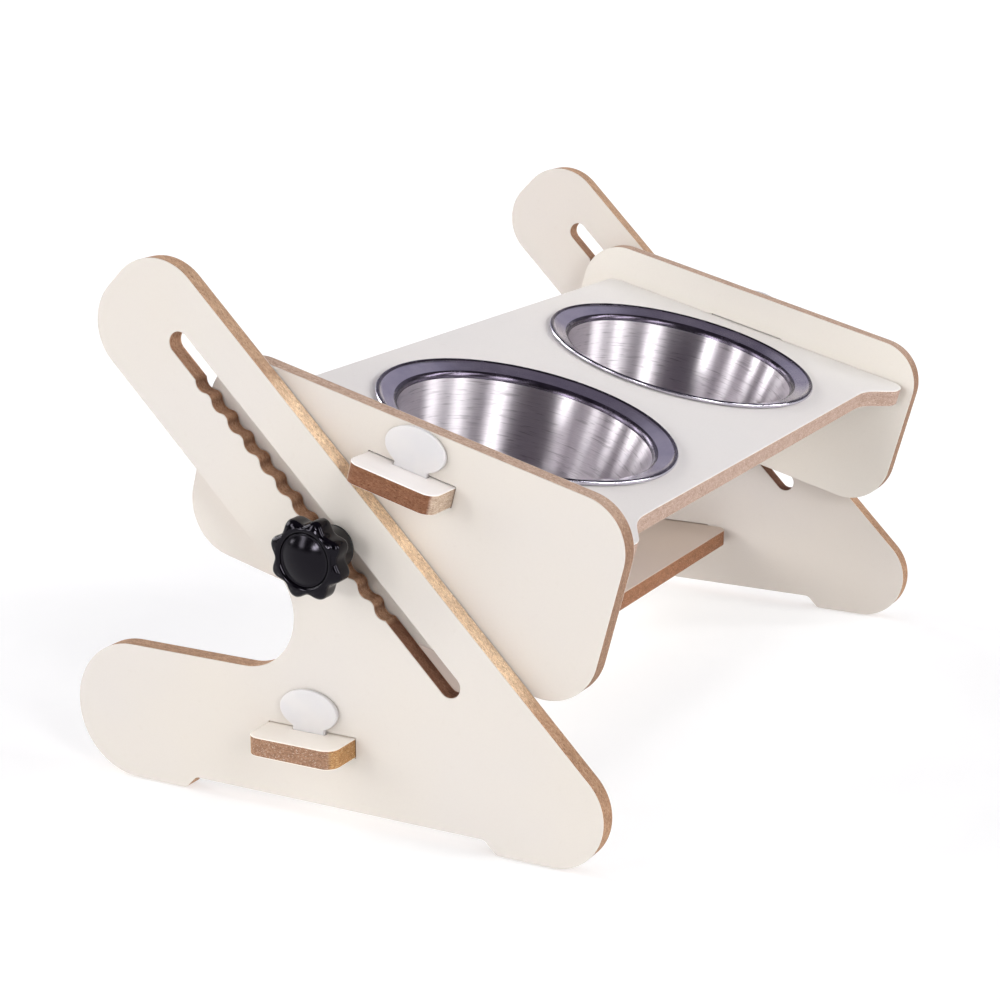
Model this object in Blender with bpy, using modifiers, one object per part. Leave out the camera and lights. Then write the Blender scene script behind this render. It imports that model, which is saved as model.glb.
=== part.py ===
"""Raised feeding stand for cats: two steel bowls in a tray that tilts between
two leaning side frames and clamps at one of twelve heights.

Metres, +Z up.  X runs across the stand, +Y to the back, the floor is Z = 0 and
the origin is the middle of the footprint.  Inside this file the side outlines
are drawn in millimetres in the plane Y-Z, with Y = 0 at the lower end of the
slot; FOOTPRINT_MID then moves everything to the middle of the footprint.
"""
import math

import bmesh
import bpy
from mathutils import Matrix, Vector

# ---------------------------------------------------------------- dimensions
MM = 0.001
GAP = 0.3                      # running gap between touching pieces

BOARD = 9.0                    # laminated board thickness
WIDTH = 400.0                  # outside of one side frame to the other

# side frame: a foot, a leaning arm and the slot along it
ARM_ANGLE = math.radians(45.4)
ARM_REAR = 16.8                # distance of the arm's rear edge from the slot line
ARM_FRONT = 75.55
ARM_END = 283.5                # along the arm
FOOT_FRONT = -106.1
FOOT_BACK = 199.0
FOOT_TOP = 64.8
RELIEF = 6.0                   # height of the relief between the two landings
SLOT_CENTRE = 51.0             # line of the slot's end circles
SLOT_R = 5.15
SLOT_TOP = 241.4
SLOT_BOTTOM = 51.3
NOTCH_COUNT = 12
NOTCH_PITCH = 11.5
NOTCH_FIRST = 221.0
NOTCH_CENTRE = 49.25
TOOTH_TIP = 46.25

# tilt axis: the clamping studs, level with the ninth notch
STUD_S = NOTCH_FIRST - 8 * NOTCH_PITCH
STUD_Q = 49.35
STUD_R = 3.0

# tray assembly, drawn in its own tilted axes: U back along the tray, W square to it
TILT = math.radians(14.8)
PANEL_U = (-39.6, 167.2)
PANEL_W = (77.6, 170.2)
PANEL_R_TOP = 23.0
PANEL_R_BOTTOM = 24.0
PANEL_CLEAR = 0.4              # side frame to side panel
TRAY_TOP = 151.1
TRAY_U = (-22.9, 149.4)
EAR_U = -34.4                  # front edge of the tray where it widens to meet a panel
TENON_U = (41.4, 84.7)
TENON_OUT = 18.4               # tenon beyond the panel's outer face
BOWL_SPACING = 175.5
BOWL_U = 62.2
TRAY_HOLE_R = 66.8

# lower cross board
CROSS_Z = (31.4, 40.4)
CROSS_Y = (34.2, 105.3)
CROSS_TENON_Y = (47.3, 92.2)
CROSS_TENON_OUT = 18.7
TENON_R = 6.0
BOARD_CORNER_R = 7.0           # outer corners of the cross board and the tray's back

# keys
KEY_THICK = 2.2
KEY_HEAD = (29.5, 18.9)        # oval head
KEY_NECK = 16.4
KEY_BELOW = 3.0                # neck below the tenon

# bowl
BOWL_RIM_R = 71.4
BOWL_MOUTH_R = 61.2            # where the sloping rim turns down
BOWL_BOTTOM_R = 53.0
BOWL_DEPTH = 46.0
SHEET = 0.8

# clamping knob
KNOB_TIP_R = 18.2
KNOB_VALLEY_R = 15.3
KNOB_LOBES = 8
KNOB_PHASE = math.radians(20.0)
KNOB_FACE = 25.0               # face of the head, from the side frame
KNOB_HEAD = 11.4
HUB_R = 10.3
CAP_R = 11.6
WASHER = 1.2

# ------------------------------------------------------------------- scene
for obj in list(bpy.data.objects):
    bpy.data.objects.remove(obj, do_unlink=True)

stand_parts = bpy.data.collections.new("adjustable_cat_bowl_stand")
cutters = bpy.data.collections.new("cutters")
bpy.context.scene.collection.children.link(stand_parts)
bpy.context.scene.collection.children.link(cutters)


def new_material(name, colour, roughness, metallic=0.0, transmission=0.0):
    mat = bpy.data.materials.new(name)
    mat.use_nodes = True
    bsdf = mat.node_tree.nodes["Principled BSDF"]
    bsdf.inputs["Base Color"].default_value = (*colour, 1.0)
    bsdf.inputs["Roughness"].default_value = roughness
    bsdf.inputs["Metallic"].default_value = metallic
    bsdf.inputs["Transmission Weight"].default_value = transmission
    mat.diffuse_color = (*colour, 1.0)
    return mat


LAMINATE = dict(colour=(0.79, 0.75, 0.70), roughness=0.45)
STEEL = dict(colour=(0.62, 0.61, 0.62), roughness=0.28, metallic=1.0)
ZINC = dict(colour=(0.60, 0.60, 0.58), roughness=0.35, metallic=1.0)
BLACK = dict(colour=(0.012, 0.012, 0.013), roughness=0.18)
MILKY = dict(colour=(0.80, 0.79, 0.80), roughness=0.30, transmission=0.3)
NYLON = dict(colour=(0.02, 0.02, 0.02), roughness=0.55)


# ----------------------------------------------------------- outline helpers
def fillet(corners, step=math.radians(12)):
    """Closed outline from (x, y, radius) corners, each rounded by its radius."""
    outline = []
    count = len(corners)
    for i, (px, py, radius) in enumerate(corners):
        p = Vector((px, py))
        a = Vector(corners[i - 1][:2]) - p
        b = Vector(corners[(i + 1) % count][:2]) - p
        a.normalize()
        b.normalize()
        if radius <= 0:
            outline.append((px, py))
            continue
        half = a.angle(b) / 2
        reach = radius / math.tan(half)
        centre = p + (a + b).normalized() * (radius / math.sin(half))
        start = p + a * reach - centre
        end = p + b * reach - centre
        turn = start.angle_signed(end)
        steps = max(2, math.ceil(abs(turn) / step))
        first = math.atan2(start.y, start.x)
        for k in range(steps + 1):
            angle = first - turn * k / steps
            outline.append((centre.x + radius * math.cos(angle),
                            centre.y + radius * math.sin(angle)))
    return outline


def arc(cx, cy, radius, start, end, steps):
    """Points of an arc, angles in radians, both ends included."""
    return [(cx + radius * math.cos(start + (end - start) * k / steps),
             cy + radius * math.sin(start + (end - start) * k / steps))
            for k in range(steps + 1)]


def rectangle(x0, x1, y0, y1, radius=0.0):
    return fillet([(x0, y0, radius), (x1, y0, radius),
                   (x1, y1, radius), (x0, y1, radius)])


def circle(cx, cy, radius, count=24):
    return arc(cx, cy, radius, 0.0, 2 * math.pi * (count - 1) / count, count - 1)


def from_arm(q, s):
    """Side-plane point from its place across (q) and along (s) the arm."""
    c, n = math.cos(ARM_ANGLE), math.sin(ARM_ANGLE)
    return (c * s - n * q, n * s + c * q)


def from_tray(u, w):
    """Side-plane point from the tray's tilted axes."""
    c, n = math.cos(TILT), math.sin(TILT)
    return (u * c - w * n, u * n + w * c)


def to_tray(y, z):
    c, n = math.cos(TILT), math.sin(TILT)
    return (y * c + z * n, -y * n + z * c)


# ----------------------------------------------------------- object helpers
SIDE = Matrix(((0, 0, 1, 0), (1, 0, 0, 0), (0, 1, 0, 0), (0, 0, 0, 1)))


def adopt(obj, parent):
    """Parent without moving."""
    bpy.context.view_layer.update()
    obj.parent = parent
    obj.matrix_parent_inverse = parent.matrix_world.inverted()


def finish(obj, material, parent=None, smooth=None):
    obj.data.materials.clear()
    obj.data.materials.append(new_material(obj.name + "_mat", **material))
    if smooth is not None:
        obj.data.shade_smooth()
        obj.data.set_sharp_from_angle(angle=math.radians(smooth))
    if parent is not None:
        adopt(obj, parent)
    return obj


def plate(name, outline, holes, thickness, matrix, collection=None):
    """Flat board from a 2D curve: outline and holes in mm, matrix in metres."""
    curve = bpy.data.curves.new(name + "_outline", "CURVE")
    curve.dimensions = "2D"
    curve.fill_mode = "BOTH"
    curve.extrude = thickness * MM / 2
    for loop in [outline] + list(holes):
        spline = curve.splines.new("POLY")
        spline.points.add(len(loop) - 1)
        for point, (x, y) in zip(spline.points, loop):
            point.co = (x * MM, y * MM, 0.0, 1.0)
        spline.use_cyclic_u = True
    drawn = bpy.data.objects.new(name + "_outline", curve)
    (collection or stand_parts).objects.link(drawn)
    drawn.matrix_world = matrix
    bpy.context.view_layer.update()
    graph = bpy.context.evaluated_depsgraph_get()
    mesh = bpy.data.meshes.new_from_object(drawn.evaluated_get(graph))
    mesh.name = name
    solid = bmesh.new()
    solid.from_mesh(mesh)
    bmesh.ops.remove_doubles(solid, verts=solid.verts, dist=0.00002)
    bmesh.ops.recalc_face_normals(solid, faces=solid.faces)
    solid.to_mesh(mesh)
    solid.free()
    obj = bpy.data.objects.new(name, mesh)
    (collection or stand_parts).objects.link(obj)
    obj.matrix_world = drawn.matrix_world.copy()
    bpy.data.objects.remove(drawn, do_unlink=True)
    return obj


def turned(name, profile, steps, matrix, closed=False):
    """Solid of revolution about local Z from (radius, z) points in mm."""
    mesh = bpy.data.meshes.new(name)
    points = [(r * MM, 0.0, z * MM) for r, z in profile]
    edges = [(i, i + 1) for i in range(len(points) - 1)]
    if closed:
        edges.append((len(points) - 1, 0))
    mesh.from_pydata(points, edges, [])
    obj = bpy.data.objects.new(name, mesh)
    stand_parts.objects.link(obj)
    obj.matrix_world = matrix
    screw = obj.modifiers.new("turn", "SCREW")
    screw.axis = "Z"
    screw.steps = steps
    screw.render_steps = steps
    screw.use_merge_vertices = True
    screw.merge_threshold = 0.00005
    screw.use_smooth_shade = True
    return obj


def rod(name, radius, x0, x1, y, z, count=24, collection=None):
    """Cylinder along X in mm, drawn about its own axis."""
    data = bpy.data.meshes.new(name)
    solid = bmesh.new()
    bmesh.ops.create_cone(solid, cap_ends=True, segments=count,
                          radius1=radius * MM, radius2=radius * MM,
                          depth=abs(x1 - x0) * MM)
    solid.to_mesh(data)
    solid.free()
    obj = bpy.data.objects.new(name, data)
    (collection or stand_parts).objects.link(obj)
    obj.location = ((x0 + x1) / 2 * MM, y * MM, z * MM)
    obj.rotation_euler = (0.0, math.pi / 2, 0.0)
    return obj


def empty(name, matrix, parent=None):
    obj = bpy.data.objects.new(name, None)
    obj.empty_display_size = 0.03
    stand_parts.objects.link(obj)
    obj.matrix_world = matrix
    if parent is not None:
        adopt(obj, parent)
    bpy.context.view_layer.update()
    return obj


def boolean(obj, other, operation):
    cut = obj.modifiers.new(operation.lower(), "BOOLEAN")
    cut.operation = operation
    cut.object = other
    cut.solver = "EXACT"
    other.hide_render = True
    other.display_type = "WIRE"


# ------------------------------------------------------------- joint places
panel_outline = fillet([(PANEL_U[0], PANEL_W[0], PANEL_R_BOTTOM),
                        (PANEL_U[1], PANEL_W[0], PANEL_R_BOTTOM),
                        (PANEL_U[1], PANEL_W[1], PANEL_R_TOP),
                        (PANEL_U[0], PANEL_W[1], PANEL_R_TOP)], math.radians(9))
front_most = min(from_tray(u, w)[0] for u, w in panel_outline)
FOOTPRINT_MID = (front_most + FOOT_BACK) / 2

stud_y, stud_z = from_arm(STUD_Q, STUD_S)
stud_u, stud_w = to_tray(stud_y, stud_z)
HALF = WIDTH / 2
PANEL_OUT = HALF - BOARD - PANEL_CLEAR      # outer face of a side panel, from the middle
PANEL_IN = PANEL_OUT - BOARD

home = Matrix.Translation((0.0, -FOOTPRINT_MID * MM, 0.0))
stand = empty("stand_frame", home)
slide_axis = empty("height_slide", home @ Matrix.Translation((0, stud_y * MM, stud_z * MM))
                   @ Matrix.Rotation(ARM_ANGLE, 4, "X"), stand)
tilt_axis = empty("tilt_axis", home @ Matrix.Translation((0, stud_y * MM, stud_z * MM))
                  @ Matrix.Rotation(TILT, 4, "X"), slide_axis)
# tray axes with their origin where U = W = 0
tray_axes = home @ Matrix.Rotation(TILT, 4, "X")


# -------------------------------------------------------------- side frames
def slot_outline():
    """Slot with a plain front wall and a toothed rear wall, in (q, s)."""
    rear = SLOT_CENTRE - SLOT_R
    points = arc(SLOT_CENTRE, SLOT_TOP, SLOT_R, 0.0, math.pi, 10)
    # nose circle of a tooth, tangent to the notch circles on both sides
    rise = NOTCH_CENTRE - TOOTH_TIP
    half = NOTCH_PITCH / 2
    nose = (SLOT_R ** 2 - half ** 2 - rise ** 2) / (2 * (rise - SLOT_R))
    nose_q = TOOTH_TIP - nose
    lean = math.asin(half / (SLOT_R + nose))
    edge = math.asin(math.sqrt(SLOT_R ** 2 - (NOTCH_CENTRE - rear) ** 2) / SLOT_R)
    for k in range(NOTCH_COUNT):
        s = NOTCH_FIRST - k * NOTCH_PITCH
        start = math.pi - (edge if k == 0 else lean)
        end = math.pi + (edge if k == NOTCH_COUNT - 1 else lean)
        points += arc(NOTCH_CENTRE, s, SLOT_R, start, end, 6)
        if k < NOTCH_COUNT - 1:
            points += arc(nose_q, s - half, nose, lean, -lean, 4)[1:-1]
    points += arc(SLOT_CENTRE, SLOT_BOTTOM, SLOT_R, math.pi, 2 * math.pi, 10)
    return [from_arm(q, s) for q, s in points]


def arm_at_height(q, z):
    """Where a line of the arm crosses a height."""
    return (z * math.cos(ARM_ANGLE) - q) / math.sin(ARM_ANGLE)


frame_outline = fillet([
    (FOOT_FRONT, 0.0, 24.0),
    (-22.5, 0.0, 3.0),
    (-16.5, RELIEF, 4.0),
    (133.5, RELIEF, 3.0),
    (139.3, 0.0, 3.0),
    (FOOT_BACK, 0.0, 32.2),
    (FOOT_BACK, FOOT_TOP, 32.2),
    (arm_at_height(ARM_REAR, FOOT_TOP), FOOT_TOP, 26.8),
    (*from_arm(ARM_REAR, ARM_END), 24.0),
    (*from_arm(ARM_FRONT, ARM_END), 26.0),
], math.radians(9))
mortise = rectangle(CROSS_TENON_Y[0] - GAP, CROSS_TENON_Y[1] + GAP,
                    CROSS_Z[0] - GAP, CROSS_Z[1] + 0.8)
for side, name in ((-1, "left_side_frame"), (1, "right_side_frame")):
    board = plate(name, frame_outline, [slot_outline(), mortise], BOARD,
                  home @ Matrix.Translation((side * (HALF - BOARD / 2) * MM, 0, 0)) @ SIDE)
    finish(board, LAMINATE, stand)


# --------------------------------------------------------- lower cross board
def tenoned_board(shoulder, end, edge, tenon, front_ears=None):
    """Plan outline of a board with a tenon at each end, counter-clockwise."""
    right = [(shoulder, tenon[0], 0.0), (end, tenon[0], TENON_R),
             (end, tenon[1], TENON_R), (shoulder, tenon[1], 0.0)]
    left = [(-x, y, r) for x, y, r in reversed(right)]
    back = [(shoulder, edge[1], BOARD_CORNER_R), (-shoulder, edge[1], BOARD_CORNER_R)]
    if front_ears is None:
        front_left = [(-shoulder, edge[0], BOARD_CORNER_R)]
        front_right = [(shoulder, edge[0], BOARD_CORNER_R)]
    else:
        front_right = front_ears
        front_left = [(-x, y, r) for x, y, r in reversed(front_right)]
    return fillet(front_left + front_right + right + back + left)


cross_end = HALF + CROSS_TENON_OUT
cross_outline = tenoned_board(HALF - BOARD - GAP, cross_end, CROSS_Y, CROSS_TENON_Y)
cross_key_mid = sum(CROSS_TENON_Y) / 2
cross_slots = [rectangle(*sorted((side * (HALF - GAP), side * (HALF + KEY_THICK + 2 * GAP))),
                         cross_key_mid - KEY_NECK / 2 - GAP, cross_key_mid + KEY_NECK / 2 + GAP)
               for side in (-1, 1)]
cross = plate("lower_cross_board", cross_outline, cross_slots, BOARD,
              home @ Matrix.Translation((0, 0, sum(CROSS_Z) / 2 * MM)))
finish(cross, LAMINATE, stand)


# ---------------------------------------------------------------------- keys
def key_outline(mid, top):
    """Oval head standing on a tenon, with a flat neck that goes down through it."""
    a, b = KEY_HEAD[0] / 2, KEY_HEAD[1] / 2
    cy = top + GAP + b
    join = math.asin(KEY_NECK / 2 / a)
    head = [(mid + a * math.sin(t), cy - b * math.cos(t))
            for t in (join + (2 * math.pi - 2 * join) * k / 30 for k in range(31))]
    foot = top - BOARD - KEY_BELOW
    half = KEY_NECK / 2
    return head + [(mid - half, foot + 1.5), (mid - half + 1.5, foot),
                   (mid + half - 1.5, foot), (mid + half, foot + 1.5)]


for side, name in ((-1, "cross_board_key_left"), (1, "cross_board_key_right")):
    x = side * (HALF + GAP + KEY_THICK / 2)
    key = plate(name, key_outline(cross_key_mid, CROSS_Z[1]), [], KEY_THICK,
                home @ Matrix.Translation((x * MM, 0, 0)) @ SIDE)
    finish(key, MILKY, stand)

# --------------------------------------------------------------- side panels
tray_key_mid = sum(TENON_U) / 2 - 0.5
panel_mortise = rectangle(TENON_U[0] - GAP, TENON_U[1] + GAP,
                          TRAY_TOP - BOARD - GAP, TRAY_TOP + 0.8)
insert_hole = circle(stud_u, stud_w, STUD_R + GAP + 0.8 + GAP, 28)
for side, name in ((-1, "left_side_panel"), (1, "right_side_panel")):
    board = plate(name, panel_outline, [panel_mortise, insert_hole], BOARD,
                  tray_axes @ Matrix.Translation((side * (PANEL_OUT - BOARD / 2) * MM, 0, 0)) @ SIDE)
    finish(board, LAMINATE, tilt_axis)

# ---------------------------------------------------------------- tray board
shoulder = PANEL_IN - GAP
ears = [(HALF - 53.8, TRAY_U[0], 34.0), (HALF - 33.8, EAR_U, 12.0), (shoulder, EAR_U, 8.5)]
tray_outline = tenoned_board(shoulder, PANEL_OUT + TENON_OUT, TRAY_U, TENON_U, ears)
bowl_holes = [circle(side * BOWL_SPACING / 2, BOWL_U, TRAY_HOLE_R, 64) for side in (-1, 1)]
tray_slots = [rectangle(*sorted((side * (PANEL_OUT - GAP), side * (PANEL_OUT + KEY_THICK + 2 * GAP))),
                        tray_key_mid - KEY_NECK / 2 - GAP, tray_key_mid + KEY_NECK / 2 + GAP)
              for side in (-1, 1)]
tray = plate("tray_board", tray_outline, bowl_holes + tray_slots, BOARD,
             tray_axes @ Matrix.Translation((0, 0, (TRAY_TOP - BOARD / 2) * MM)))
finish(tray, LAMINATE, tilt_axis)

for side, name in ((-1, "tray_key_left"), (1, "tray_key_right")):
    x = side * (PANEL_OUT + GAP + KEY_THICK / 2)
    key = plate(name, key_outline(tray_key_mid, TRAY_TOP), [], KEY_THICK,
                tray_axes @ Matrix.Translation((x * MM, 0, 0)) @ SIDE)
    finish(key, MILKY, tilt_axis)


# --------------------------------------------------------------------- bowls
def bowl_profile():
    """Pressed bowl, from the middle of its inside, over the rim, to its underside.

    Heights are from the tray's top face.  The rolled bead rests on the tray and
    the rim slopes down inwards from the bead to the mouth.
    """
    bead = 1.15
    bead_r, bead_z = BOWL_RIM_R - bead, GAP + bead
    corner = 13.0
    floor = -BOWL_DEPTH
    mouth_z = -0.4
    rim_out, rim_out_z = bead_r - 0.95, bead_z + 0.45
    lean = math.atan2(BOWL_MOUTH_R - 1.0 - BOWL_BOTTOM_R, BOWL_DEPTH)
    inside = [(0.0, floor)]
    # rounded corner between the flat bottom and the leaning wall
    sweep = math.pi / 2 - lean
    cx, cz = BOWL_BOTTOM_R - corner * math.tan(sweep / 2), floor + corner
    inside += [(cx + corner * math.sin(t), cz - corner * math.cos(t))
               for t in (sweep * k / 5 for k in range(6))]
    # wall up to the mouth, turned over on to the sloping rim
    inside += [(BOWL_MOUTH_R - 1.0, mouth_z - 1.9), (BOWL_MOUTH_R - 0.65, mouth_z - 0.6),
               (BOWL_MOUTH_R + 0.3, mouth_z + 0.05), (rim_out, rim_out_z)]
    # bead, over its top and round its outside to the tray
    rolled = [(bead_r + bead * math.cos(t), bead_z + bead * math.sin(t))
              for t in (math.radians(a) for a in (115, 75, 35, -5, -45, -90))]
    outside = [(rim_out + 0.1, GAP + 0.15), (rim_out - 0.5, rim_out_z - SHEET - 0.2),
               (BOWL_MOUTH_R + 0.7, mouth_z + 0.05 - SHEET),
               (BOWL_MOUTH_R - 0.1, mouth_z - 1.9)]
    r2 = corner + SHEET
    outside += [(cx + r2 * math.sin(t), cz - r2 * math.cos(t))
                for t in (sweep * k / 5 for k in range(5, -1, -1))]
    outside += [(0.0, floor - SHEET)]
    return inside + rolled + outside


for side, name in ((-1, "left_bowl"), (1, "right_bowl")):
    bowl = turned(name, bowl_profile(), 40,
                  tray_axes @ Matrix.Translation((side * BOWL_SPACING / 2 * MM, BOWL_U * MM,
                                                  TRAY_TOP * MM)))
    finish(bowl, STEEL, tilt_axis)


# ------------------------------------------------- knobs, studs and fastenings
def knob_outline(phase):
    mid = (KNOB_TIP_R + KNOB_VALLEY_R) / 2
    swing = (KNOB_TIP_R - KNOB_VALLEY_R) / 2
    count = KNOB_LOBES * 8
    return [((mid + swing * math.cos(KNOB_LOBES * (t - phase))) * math.cos(t),
             (mid + swing * math.cos(KNOB_LOBES * (t - phase))) * math.sin(t))
            for t in (2 * math.pi * k / count for k in range(count))]


stud_at = Vector((0.0, stud_y - FOOTPRINT_MID, stud_z))
for side, tag in ((-1, "left"), (1, "right")):
    def at(depth):
        """X of a depth outside (+) or inside (-) the side frame's outer face."""
        return side * (HALF + depth)

    axis = empty(tag + "_knob_axis", Matrix.Translation((at(0) * MM, stud_at.y * MM, stud_at.z * MM)),
                 slide_axis)
    # lobed head on a round hub, bored for the stud and recessed for the cap
    head_mid = at(KNOB_FACE - KNOB_HEAD / 2)
    knob = plate(tag + "_knob", knob_outline(KNOB_PHASE), [], KNOB_HEAD,
                 Matrix.Translation((head_mid * MM, stud_at.y * MM, stud_at.z * MM)) @ SIDE)
    rounded = knob.modifiers.new("rounded_rims", "BEVEL")
    rounded.width = 1.4 * MM
    rounded.segments = 2
    rounded.limit_method = "ANGLE"
    rounded.angle_limit = math.radians(60)
    hub = rod(tag + "_hub", HUB_R, at(KNOB_FACE - KNOB_HEAD + 2.0), at(WASHER + 2 * GAP),
              stud_at.y, stud_at.z, 32, cutters)
    bore = rod(tag + "_bore", STUD_R + GAP, at(20.3), at(-1.0), stud_at.y, stud_at.z, 24, cutters)
    recess = rod(tag + "_recess", CAP_R + GAP, at(KNOB_FACE + 2.0), at(KNOB_FACE - 2.0),
                 stud_at.y, stud_at.z, 32, cutters)
    boolean(knob, hub, "UNION")
    boolean(knob, bore, "DIFFERENCE")
    boolean(knob, recess, "DIFFERENCE")
    finish(knob, BLACK, axis, 35)

    turn = Matrix.Rotation(side * math.pi / 2, 4, "Y")
    face = Matrix.Translation((at(KNOB_FACE - 2.0 + GAP) * MM, stud_at.y * MM, stud_at.z * MM)) @ turn
    cap = turned(tag + "_knob_cap", [(0.0, 3.1), (3.5, 2.85), (7.0, 2.08), (CAP_R - 1.0, 0.72),
                                     (CAP_R - 0.2, 0.58), (CAP_R, 0.35), (CAP_R, 0.0), (0.0, 0.0)],
                 28, face)
    finish(cap, BLACK, axis)

    stud = rod(tag + "_knob_stud", STUD_R, at(20.0), at(-21.5), stud_at.y, stud_at.z, 24)
    tip = stud.modifiers.new("chamfered_ends", "BEVEL")
    tip.width = 0.6 * MM
    tip.segments = 1
    tip.limit_method = "ANGLE"
    finish(stud, ZINC, axis, 35)

    seat = Matrix.Translation((at(GAP) * MM, stud_at.y * MM, stud_at.z * MM)) @ turn
    inner = STUD_R + GAP
    washer = turned(tag + "_washer", [(inner, WASHER), (9.9, WASHER), (9.9, 0.0), (inner, 0.0)],
                    28, seat, closed=True)
    finish(washer, NYLON, slide_axis)

    # flanged nut: barrel in the side panel, flange on its inner face
    back = Matrix.Translation((side * (PANEL_IN - GAP) * MM, stud_at.y * MM, stud_at.z * MM)) \
        @ Matrix.Rotation(-side * math.pi / 2, 4, "Y")
    barrel = inner + 0.8
    insert = turned(tag + "_threaded_insert",
                    [(inner, 1.2), (9.0, 1.2), (9.0, 0.0), (barrel, 0.0),
                     (barrel, -BOARD + 0.6), (inner, -BOARD + 0.6)],
                    28, back, closed=True)
    finish(insert, ZINC, tilt_axis)
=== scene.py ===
import math

import bmesh
import bpy
from mathutils import Matrix, Vector
from mathutils.geometry import tessellate_polygon


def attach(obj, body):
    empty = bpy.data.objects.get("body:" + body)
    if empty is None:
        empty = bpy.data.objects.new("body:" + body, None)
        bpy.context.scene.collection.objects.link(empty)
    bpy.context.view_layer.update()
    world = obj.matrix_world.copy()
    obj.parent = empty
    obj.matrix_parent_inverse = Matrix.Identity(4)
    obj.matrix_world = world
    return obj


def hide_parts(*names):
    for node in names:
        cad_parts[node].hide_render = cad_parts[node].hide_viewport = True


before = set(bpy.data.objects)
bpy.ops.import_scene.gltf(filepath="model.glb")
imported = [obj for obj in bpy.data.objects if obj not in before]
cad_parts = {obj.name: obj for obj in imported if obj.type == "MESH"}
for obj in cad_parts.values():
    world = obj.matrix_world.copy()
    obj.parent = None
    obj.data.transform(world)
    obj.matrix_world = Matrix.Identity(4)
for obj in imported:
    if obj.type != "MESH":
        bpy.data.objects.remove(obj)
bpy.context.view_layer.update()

scene = bpy.context.scene
scene.view_settings.view_transform = "Standard"
scene.view_settings.look = "None"

MM = 0.001
GAP = 0.3

# ---------------------------------------------------------------- dimensions
BOARD = 9.0
WIDTH = 400.0
HALF = WIDTH / 2

ARM_ANGLE = math.radians(45.4)
ARM_REAR, ARM_FRONT, ARM_END = 16.8, 75.55, 283.5
FOOT_FRONT, FOOT_BACK, FOOT_TOP, RELIEF = -106.1, 199.0, 64.8, 6.0
SLOT_CENTRE, SLOT_R, SLOT_TOP, SLOT_BOTTOM = 51.0, 5.15, 241.4, 51.3
NOTCH_COUNT, NOTCH_PITCH, NOTCH_FIRST = 12, 11.5, 221.0
NOTCH_CENTRE, TOOTH_TIP = 49.25, 46.25
STUD_S = NOTCH_FIRST - 8 * NOTCH_PITCH
STUD_Q, STUD_R = 49.35, 3.0

TILT = math.radians(14.8)
PANEL_U, PANEL_W = (-39.6, 167.2), (77.6, 170.2)
PANEL_R_TOP, PANEL_R_BOTTOM = 23.0, 24.0
PANEL_CLEAR = 0.4
PANEL_OUT = HALF - BOARD - PANEL_CLEAR
PANEL_IN = PANEL_OUT - BOARD
TRAY_TOP, TRAY_U, EAR_U = 151.1, (-22.9, 149.4), -34.4
TENON_U, TENON_OUT = (41.4, 84.7), 18.4
BOWL_SPACING, BOWL_U, TRAY_HOLE_R = 175.5, 62.2, 66.8
CROSS_Z, CROSS_Y = (31.4, 40.4), (34.2, 105.3)
CROSS_TENON_Y, CROSS_TENON_OUT = (47.3, 92.2), 18.7
TENON_R, BOARD_CORNER_R = 6.0, 7.0

KEY_THICK, KEY_HEAD, KEY_NECK, KEY_BELOW = 2.2, (29.5, 18.9), 16.4, 3.0

BOWL_RIM_R, BOWL_MOUTH_R, BOWL_BOTTOM_R = 71.4, 61.2, 53.0
BOWL_DEPTH, SHEET = 46.0, 0.8

KNOB_MID_R, KNOB_SWING, KNOB_LOBES = 16.75, 1.45, 8
KNOB_PHASE = math.radians(20.0)
KNOB_FACE, KNOB_HEAD, HUB_R, CAP_R, WASHER = 25.0, 11.4, 10.3, 11.6, 1.2

# middle of the footprint, from the front corner of the tilted panels to the foot's back
FOOTPRINT_MID = 61.192


# ----------------------------------------------------------- outline helpers
def fillet(corners, step=math.radians(5)):
    """Closed outline from (x, y, radius) corners, each rounded by its radius."""
    outline = []
    count = len(corners)
    for i, (px, py, radius) in enumerate(corners):
        p = Vector((px, py))
        a = (Vector(corners[i - 1][:2]) - p).normalized()
        b = (Vector(corners[(i + 1) % count][:2]) - p).normalized()
        if radius <= 0:
            outline.append((px, py))
            continue
        half = a.angle(b) / 2
        reach = radius / math.tan(half)
        centre = p + (a + b).normalized() * (radius / math.sin(half))
        start = p + a * reach - centre
        end = p + b * reach - centre
        turn = start.angle_signed(end)
        steps = max(2, math.ceil(abs(turn) / step))
        first = math.atan2(start.y, start.x)
        for k in range(steps + 1):
            angle = first - turn * k / steps
            outline.append((centre.x + radius * math.cos(angle),
                            centre.y + radius * math.sin(angle)))
    return outline


def arc(cx, cy, radius, start, end, steps):
    return [(cx + radius * math.cos(start + (end - start) * k / steps),
             cy + radius * math.sin(start + (end - start) * k / steps))
            for k in range(steps + 1)]


def rectangle(x0, x1, y0, y1, radius=0.0):
    return fillet([(x0, y0, radius), (x1, y0, radius), (x1, y1, radius), (x0, y1, radius)])


def circle(cx, cy, radius, count=64):
    return arc(cx, cy, radius, 0.0, 2 * math.pi * (count - 1) / count, count - 1)


def from_arm(q, s):
    c, n = math.cos(ARM_ANGLE), math.sin(ARM_ANGLE)
    return (c * s - n * q, n * s + c * q)


def to_tray(y, z):
    c, n = math.cos(TILT), math.sin(TILT)
    return (y * c + z * n, -y * n + z * c)


def from_tray(loop):
    c, n = math.cos(TILT), math.sin(TILT)
    return [(u * c - w * n, u * n + w * c) for u, w in loop]


def signed_area(loop):
    return sum(a[0] * b[1] - b[0] * a[1] for a, b in zip(loop, loop[1:] + loop[:1])) / 2


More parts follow.
